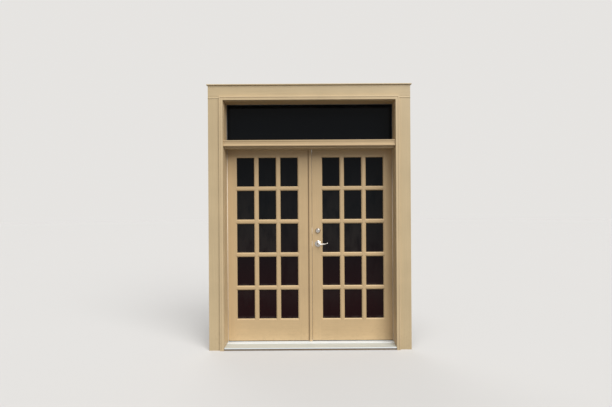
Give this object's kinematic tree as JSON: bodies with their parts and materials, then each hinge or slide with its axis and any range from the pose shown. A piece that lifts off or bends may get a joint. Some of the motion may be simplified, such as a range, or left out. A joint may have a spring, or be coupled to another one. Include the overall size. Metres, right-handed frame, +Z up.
{
  "type": "french doors with transom light",
  "caption": "Pair of glazed wooden doors with small lites in a frame with a fixed light above, moulded outside trim, hinges, lever latch, deadbolt and flush bolts.",
  "frame": {"origin": "under the middle of the sill, in the plane of the wall's outside face", "axes": "+X to the right as seen from outside, +Y indoors, +Z up"},
  "size_m": [2.0922, 0.2875, 2.7196],
  "materials": {
    "leaf_paint": "satin paint",
    "frame_paint": "satin paint",
    "border_paint": "satin paint",
    "casing_paint": "satin paint",
    "sill_paint": "worn satin paint",
    "sill_core": "satin paint",
    "door_glass": "clear",
    "transom_glass": "clear",
    "seal_foam": "matte skin",
    "sweep_rubber": "matte",
    "hinge_steel": "brushed",
    "lock_steel": "brushed",
    "nickel": "polished"
  },
  "bodies": {
    "frame": {"jamb_left": "frame_paint", "jamb_right": "frame_paint", "head_jamb": "frame_paint", "transom_bar": "frame_paint", "transom_bar_cover": "frame_paint", "transom_pane": "transom_glass", "transom_beads": "frame_paint", "sill_base": "sill_core", "sill_deck": "sill_paint", "sill_cap": "sill_paint", "border_left": "border_paint", "border_right": "border_paint", "border_head": "border_paint", "casing_left": "casing_paint", "casing_right": "casing_paint", "casing_head": "casing_paint", "casing_fillets": "casing_paint", "head_cap": "casing_paint", "door_seals": "seal_foam", "flush_bolt_keepers": "lock_steel", "hinge_frame_leaves": "hinge_steel", "hinge_pins": "hinge_steel"},
    "left_leaf": {"left_hinge_stile": "leaf_paint", "left_meeting_stile": "leaf_paint", "left_top_rail": "leaf_paint", "left_bottom_rail": "leaf_paint", "left_upright_bars": "leaf_paint", "left_cross_bars": "leaf_paint", "left_panes": "door_glass", "left_glazing_beads": "leaf_paint", "left_bottom_sweep": "sweep_rubber", "left_hinge_leaves": "hinge_steel", "astragal": "leaf_paint", "astragal_seal": "seal_foam", "strike_plates": "lock_steel"},
    "right_leaf": {"right_hinge_stile": "leaf_paint", "right_meeting_stile": "leaf_paint", "right_top_rail": "leaf_paint", "right_bottom_rail": "leaf_paint", "right_upright_bars": "leaf_paint", "right_cross_bars": "leaf_paint", "right_panes": "door_glass", "right_glazing_beads": "leaf_paint", "right_bottom_sweep": "sweep_rubber", "right_hinge_leaves": "hinge_steel", "latch_case": "lock_steel", "deadbolt_case": "lock_steel", "rose_outside": "nickel", "rose_inside": "nickel", "deadbolt_collar": "nickel", "turn_plate": "nickel"},
    "lever_set": {"lever_outside": "nickel", "lever_inside": "nickel", "lever_spindle": "lock_steel"},
    "latch_bolt": {"latch_bolt": "lock_steel"},
    "deadbolt_turn": {"deadbolt_plug": "nickel", "thumb_turn": "nickel"},
    "deadbolt": {"deadbolt": "lock_steel"},
    "flush_bolt_top": {"flush_bolt_top": "lock_steel"},
    "flush_bolt_bottom": {"flush_bolt_bottom": "lock_steel"}
  },
  "joints": [
    {"name": "left_leaf_swing", "type": "hinge", "parent": "frame", "child": "left_leaf", "pos_m": [-0.888, 0.197, 1.1125], "axis": [0, 0, 1], "range_deg": [0, 110]},
    {"name": "right_leaf_swing", "type": "hinge", "parent": "frame", "child": "right_leaf", "pos_m": [0.888, 0.197, 1.1125], "axis": [0, 0, -1], "range_deg": [0, 110]},
    {"name": "lever_turn", "type": "hinge", "parent": "right_leaf", "child": "lever_set", "pos_m": [0.0828, 0.16775, 1.072], "axis": [0, 1, 0], "range_deg": [0, 45], "stiffness_Nm_per_rad": 1.5, "springref_deg": -28.65},
    {"name": "latch_throw", "type": "slide", "parent": "right_leaf", "child": "latch_bolt", "axis": [-1, 0, 0], "range_m": [0, 0.0127]},
    {"name": "deadbolt_turn", "type": "hinge", "parent": "right_leaf", "child": "deadbolt_turn", "pos_m": [0.0828, 0.16775, 1.2117], "axis": [0, 1, 0], "range_deg": [0, 90]},
    {"name": "deadbolt_throw", "type": "slide", "parent": "right_leaf", "child": "deadbolt", "axis": [-1, 0, 0], "range_m": [0, 0.0254]},
    {"name": "flush_bolt_top_slide", "type": "slide", "parent": "left_leaf", "child": "flush_bolt_top", "axis": [0, 0, 1], "range_m": [0, 0.019]},
    {"name": "flush_bolt_bottom_slide", "type": "slide", "parent": "left_leaf", "child": "flush_bolt_bottom", "axis": [0, 0, -1], "range_m": [0, 0.019]}
  ],
  "couplings": [
    {"joint": "deadbolt_throw", "follows": "deadbolt_turn", "m_per_rad": 0.01617}
  ]
}
